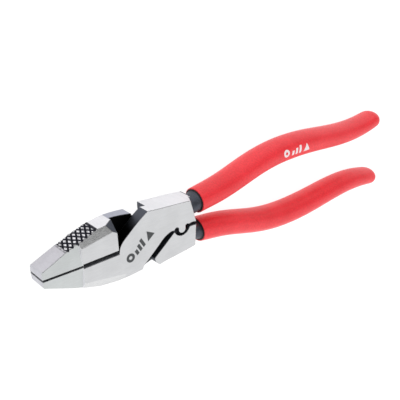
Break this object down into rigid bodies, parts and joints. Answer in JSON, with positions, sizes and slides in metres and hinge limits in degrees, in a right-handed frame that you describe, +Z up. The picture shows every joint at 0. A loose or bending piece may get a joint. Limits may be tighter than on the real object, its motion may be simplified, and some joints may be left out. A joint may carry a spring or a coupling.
{
  "type": "lineman pliers",
  "caption": "Lineman pliers with a serrated flat nose, side cutters, a crimping lobe behind the lap joint, and dipped handle grips.",
  "frame": {"origin": "centre of the footprint, on the bench the tool lies on", "axes": "+X from the nose to the handle ends, +Y in the plane of the jaws towards the upper handle, +Z up out of the front cheek, along the pivot"},
  "size_m": [0.2412, 0.0548, 0.0172],
  "materials": {
    "steel": "ground and polished cheeks and edges, dark oxide in the joint and on the tangs",
    "rivet_steel": "ground flush with the cheeks",
    "grip_red": "smooth satin dipped skin",
    "grip_base": "matt base layer"
  },
  "bodies": {
    "rear": {"rear_half": "steel", "lower_grip": "grip_red", "lower_grip_liner": "grip_base"},
    "front": {"front_half": "steel", "pivot_rivet": "rivet_steel", "upper_grip": "grip_red", "upper_grip_liner": "grip_base"}
  },
  "joints": [
    {"name": "pivot", "type": "hinge", "parent": "rear", "child": "front", "pos_m": [-0.067, 0, 0.0086], "axis": [0, 0, 1], "range_deg": [0, 32]}
  ]
}
